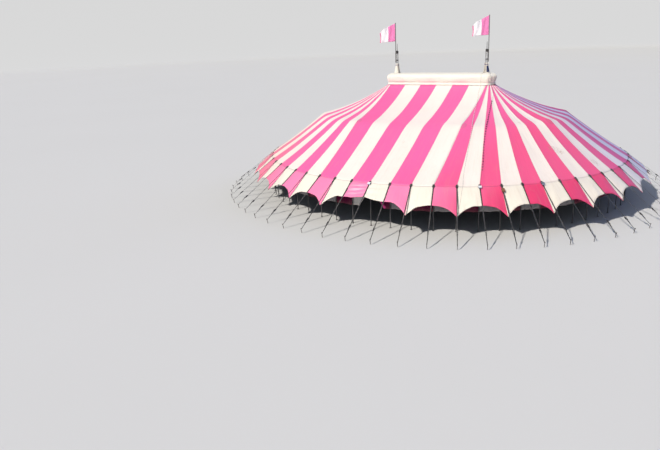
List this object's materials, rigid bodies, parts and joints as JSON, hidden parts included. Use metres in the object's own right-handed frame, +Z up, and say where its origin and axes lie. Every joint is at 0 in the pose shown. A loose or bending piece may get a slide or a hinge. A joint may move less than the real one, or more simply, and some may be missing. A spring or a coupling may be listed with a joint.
{
  "type": "circus big top tent",
  "caption": "Oval striped canvas big top on king poles, with a padded crown, scalloped valance, raised side wall, guys and stakes",
  "frame": {"origin": "the tent's centre on the ground, midway between the king poles", "axes": "+X from the left king pole to the right one along the oval's long axis, +Z up, and the entrance faces -Y"},
  "size_m": [33.4134, 30.418, 12.5],
  "materials": {
    "striped_canvas": "coated canvas in broad pink and cream gores, satin, lightly soiled",
    "wall_canvas": "coated canvas panels in dark magenta and grey white, dull",
    "crown_canvas": "padded cream canvas, weathered, satin",
    "flag_cloth": "light flag cloth in pink and white",
    "galvanised_steel": "dull galvanised steel tube",
    "guy_steel": "dark steel poles and guys, worn",
    "lamp_housing": "pale painted lamp housing with a glass front",
    "box_plastic": "brown moulded box, dusty"
  },
  "bodies": {
    "root": {"roof_front": "striped_canvas", "roof_right_front": "striped_canvas", "roof_right_back": "striped_canvas", "roof_back": "striped_canvas", "roof_left_back": "striped_canvas", "roof_left_front": "striped_canvas", "valance_front": "striped_canvas", "valance_right_front": "striped_canvas", "valance_right_back": "striped_canvas", "valance_back": "striped_canvas", "valance_left_back": "striped_canvas", "valance_left_front": "striped_canvas", "side_wall_front_left": "wall_canvas", "side_wall_front_right": "wall_canvas", "side_wall_right_front": "wall_canvas", "side_wall_right_back": "wall_canvas", "side_wall_back": "wall_canvas", "side_wall_left_back": "wall_canvas", "side_wall_left_front": "wall_canvas", "side_poles_guys_front": "guy_steel", "side_poles_guys_right_front": "guy_steel", "side_poles_guys_right_back": "guy_steel", "side_poles_guys_back": "guy_steel", "side_poles_guys_left_back": "guy_steel", "side_poles_guys_left_front": "guy_steel", "king_pole_left": "galvanised_steel", "king_pole_right": "galvanised_steel", "mast_sleeve_left": "crown_canvas", "mast_sleeve_right": "crown_canvas", "flag_left": "flag_cloth", "flag_right": "flag_cloth", "crown_cap": "crown_canvas", "crown_frame": "galvanised_steel", "quarter_pole_1": "galvanised_steel", "quarter_pole_2": "galvanised_steel", "quarter_pole_3": "galvanised_steel", "quarter_pole_4": "galvanised_steel", "quarter_pole_5": "galvanised_steel", "quarter_pole_6": "galvanised_steel", "quarter_pole_7": "galvanised_steel", "quarter_pole_8": "galvanised_steel", "floodlight_1": "lamp_housing", "floodlight_2": "lamp_housing", "floodlight_3": "lamp_housing", "cable_box": "box_plastic"}
  },
  "joints": []
}
